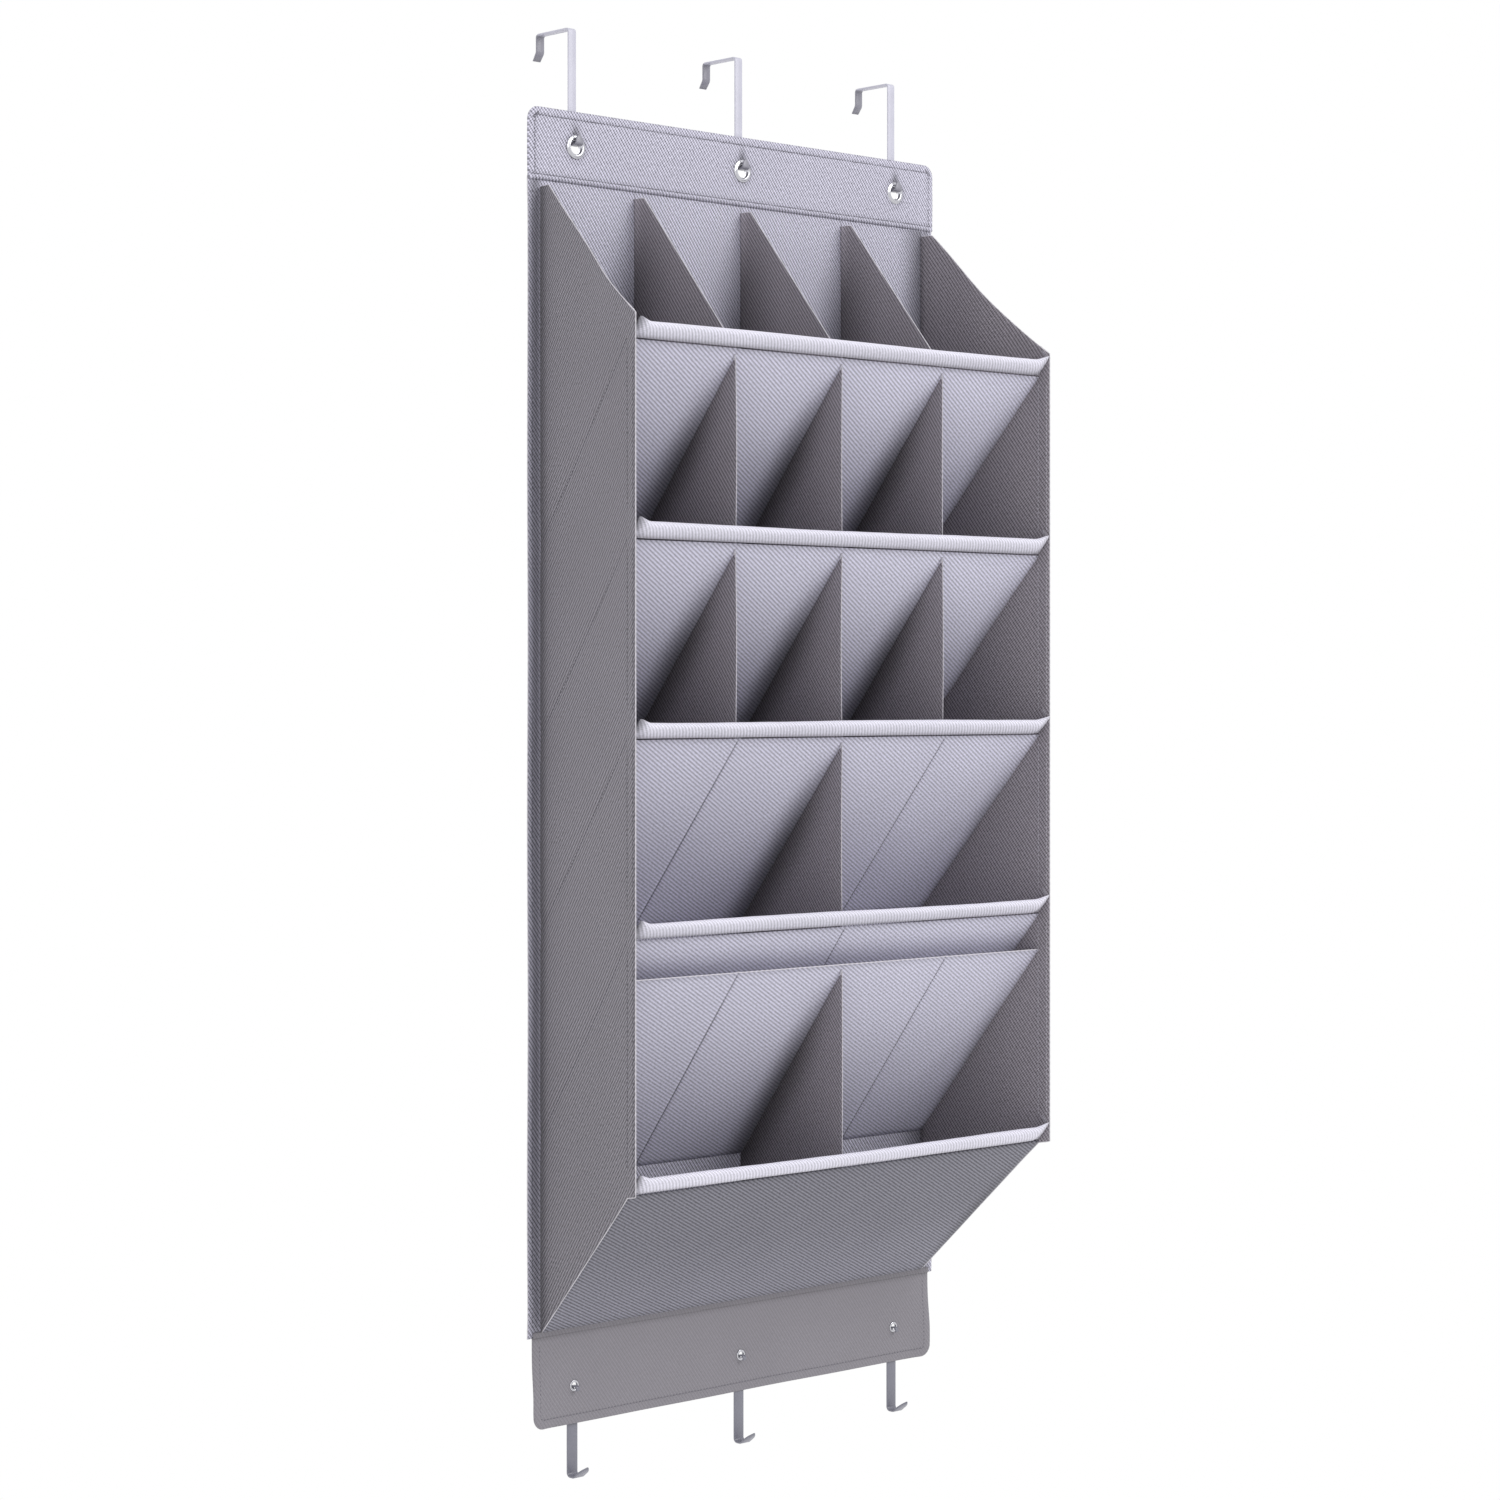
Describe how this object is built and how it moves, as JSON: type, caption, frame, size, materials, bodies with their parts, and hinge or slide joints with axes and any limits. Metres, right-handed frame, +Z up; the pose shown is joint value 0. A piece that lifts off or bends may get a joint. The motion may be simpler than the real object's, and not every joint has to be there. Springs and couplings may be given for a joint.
{
  "type": "hanging shoe organizer",
  "caption": "Soft over-door rack of sloping fabric pockets with rolled lips, hung from flat steel hooks in a grommeted header, with hooks on a flap below.",
  "frame": {"origin": "underside of the middle top hook's bridge, where it rests on the top of a door, halfway through the door's thickness", "axes": "+X along the width, to the right as seen from the front; -Y is the front with the pocket mouths, +Y the door side; +Z up"},
  "size_m": [0.5596, 0.2145, 1.3678],
  "materials": {
    "light_fabric": "matt diagonal weave, light lavender grey",
    "lip_fabric": "the same weave, rolled and padded, slightly lighter",
    "grey_fabric": "matt mid grey weave",
    "board_plastic": "plain board inside the header",
    "core_plastic": "plain strip inside a lip",
    "grommet_steel": "polished nickel plate",
    "top_hook_paint": "satin pale lavender paint",
    "bottom_hook_paint": "satin mid grey paint"
  },
  "bodies": {
    "header": {"header_front": "light_fabric", "header_board": "board_plastic", "header_rear": "light_fabric", "grommet_left": "grommet_steel", "grommet_middle": "grommet_steel", "grommet_right": "grommet_steel", "washer_left": "grommet_steel", "washer_middle": "grommet_steel", "washer_right": "grommet_steel"},
    "pockets": {"back_panel": "light_fabric", "side_panel_left": "grey_fabric", "side_panel_right": "grey_fabric", "pocket_sheet_1": "light_fabric", "pocket_sheet_2": "light_fabric", "pocket_sheet_3": "light_fabric", "pocket_sheet_4": "light_fabric", "slot_sheet": "light_fabric", "bottom_panel": "light_fabric", "lip_1": "lip_fabric", "lip_2": "lip_fabric", "lip_3": "lip_fabric", "lip_4": "lip_fabric", "lip_5": "lip_fabric", "lip_core_1": "core_plastic", "lip_core_2": "core_plastic", "lip_core_3": "core_plastic", "lip_core_4": "core_plastic", "lip_core_5": "core_plastic", "divider_1_left": "grey_fabric", "divider_1_middle": "grey_fabric", "divider_1_right": "grey_fabric", "divider_2_left": "grey_fabric", "divider_2_middle": "grey_fabric", "divider_2_right": "grey_fabric", "divider_3_left": "grey_fabric", "divider_3_middle": "grey_fabric", "divider_3_right": "grey_fabric", "divider_4_middle": "grey_fabric", "divider_5_middle": "grey_fabric"},
    "flap": {"bottom_flap": "grey_fabric", "eyelet_left": "grommet_steel", "eyelet_middle": "grommet_steel", "eyelet_right": "grommet_steel"},
    "top_hook_left_body": {"top_hook_left": "top_hook_paint"},
    "top_hook_middle_body": {"top_hook_middle": "top_hook_paint"},
    "top_hook_right_body": {"top_hook_right": "top_hook_paint"},
    "bottom_hook_left_body": {"bottom_hook_left": "bottom_hook_paint"},
    "bottom_hook_middle_body": {"bottom_hook_middle": "bottom_hook_paint"},
    "bottom_hook_right_body": {"bottom_hook_right": "bottom_hook_paint"}
  },
  "joints": [
    {"name": "pockets_swing", "type": "hinge", "parent": "header", "child": "pockets", "pos_m": [0, -0.0263, -0.147], "axis": [-1, 0, 0], "range_deg": [0, 90]},
    {"name": "flap_fold", "type": "hinge", "parent": "pockets", "child": "flap", "pos_m": [0, -0.0263, -1.23], "axis": [-1, 0, 0], "range_deg": [0, 110]},
    {"name": "top_hook_left_tilt", "type": "hinge", "parent": "header", "child": "top_hook_left_body", "pos_m": [-0.216, -0.0275, -0.1098], "axis": [-1, 0, 0], "range_deg": [0, 12]},
    {"name": "top_hook_middle_tilt", "type": "hinge", "parent": "header", "child": "top_hook_middle_body", "pos_m": [0, -0.0275, -0.1098], "axis": [-1, 0, 0], "range_deg": [0, 12]},
    {"name": "top_hook_right_tilt", "type": "hinge", "parent": "header", "child": "top_hook_right_body", "pos_m": [0.216, -0.0275, -0.1098], "axis": [-1, 0, 0], "range_deg": [0, 12]},
    {"name": "bottom_hook_left_swing", "type": "hinge", "parent": "flap", "child": "bottom_hook_left_body", "pos_m": [-0.216, -0.0263, -1.2804], "axis": [1, 0, 0], "range_deg": [0, 28]},
    {"name": "bottom_hook_middle_swing", "type": "hinge", "parent": "flap", "child": "bottom_hook_middle_body", "pos_m": [0, -0.0263, -1.2804], "axis": [1, 0, 0], "range_deg": [0, 28]},
    {"name": "bottom_hook_right_swing", "type": "hinge", "parent": "flap", "child": "bottom_hook_right_body", "pos_m": [0.216, -0.0263, -1.2804], "axis": [1, 0, 0], "range_deg": [0, 28]}
  ]
}
